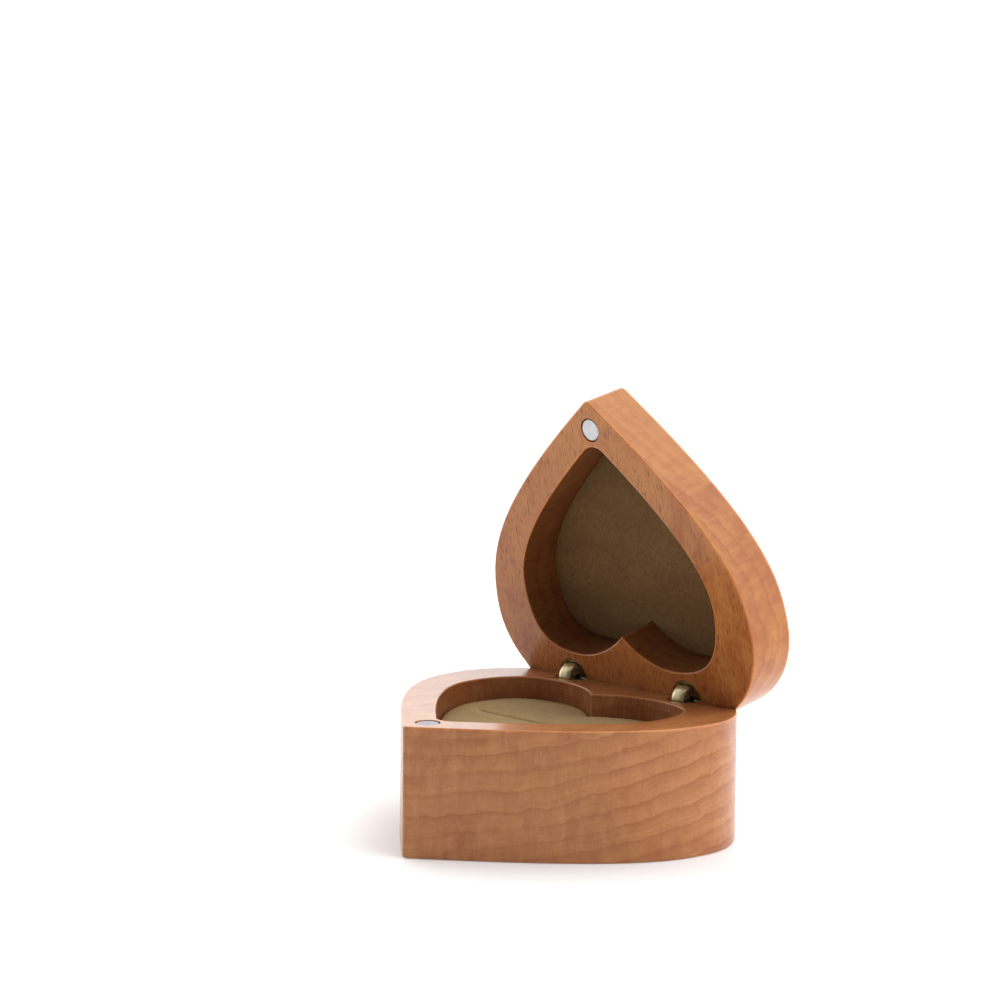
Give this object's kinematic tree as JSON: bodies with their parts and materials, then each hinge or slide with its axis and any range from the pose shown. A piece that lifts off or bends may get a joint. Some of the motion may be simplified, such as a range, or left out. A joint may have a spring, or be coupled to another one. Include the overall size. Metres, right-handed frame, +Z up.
{
  "type": "ring box",
  "caption": "Small heart-shaped wooden ring box: the lid swings on two concealed hinges, shuts on magnets, and a suede cushion with a slit holds a ring upright.",
  "frame": {"origin": "on the underside of the base block, on the heart's centre line, midway between the point of the heart and the backs of its lobes", "axes": "+Z up; -Y towards the point of the heart, where the lid opens; +Y towards the hinge line; +X across the heart, along the hinge line"},
  "size_m": [0.05, 0.05, 0.06],
  "materials": {
    "beech_base": "satin",
    "beech_lid": "satin",
    "nickel": "satin",
    "foam": "matte",
    "cushion_suede": "matte",
    "lining_suede": "matte",
    "brass_barrel": "satin",
    "brass_link": "polished",
    "steel_pin": "satin"
  },
  "bodies": {
    "base": {"base_block": "beech_base", "base_magnet": "nickel", "cushion_foam": "foam", "cushion_cover": "cushion_suede", "left_base_barrel": "brass_barrel", "right_base_barrel": "brass_barrel", "left_base_pin": "steel_pin", "right_base_pin": "steel_pin"},
    "lid": {"lid_block": "beech_lid", "lid_magnet": "nickel", "lid_lining": "lining_suede", "left_lid_barrel": "brass_barrel", "right_lid_barrel": "brass_barrel", "left_lid_pin": "steel_pin", "right_lid_pin": "steel_pin"},
    "left_link": {"left_link_plates": "brass_link", "left_link_core": "brass_link"},
    "right_link": {"right_link_plates": "brass_link", "right_link_core": "brass_link"}
  },
  "joints": [
    {"name": "lid_hinge", "type": "hinge", "parent": "base", "child": "lid", "pos_m": [0, 0.0194, 0.01755], "axis": [1, 0, 0], "range_deg": [-13, 77]},
    {"name": "left_link_pivot", "type": "hinge", "parent": "base", "child": "left_link", "pos_m": [-0.0111, 0.0194, 0.01755], "axis": [1, 0, 0], "range_deg": [-6.6, 38.6]},
    {"name": "right_link_pivot", "type": "hinge", "parent": "base", "child": "right_link", "pos_m": [0.0111, 0.0194, 0.01755], "axis": [1, 0, 0], "range_deg": [-6.6, 38.6]}
  ],
  "couplings": [
    {"joint": "left_link_pivot", "follows": "lid_hinge", "ratio": 0.5},
    {"joint": "right_link_pivot", "follows": "lid_hinge", "ratio": 0.5}
  ]
}
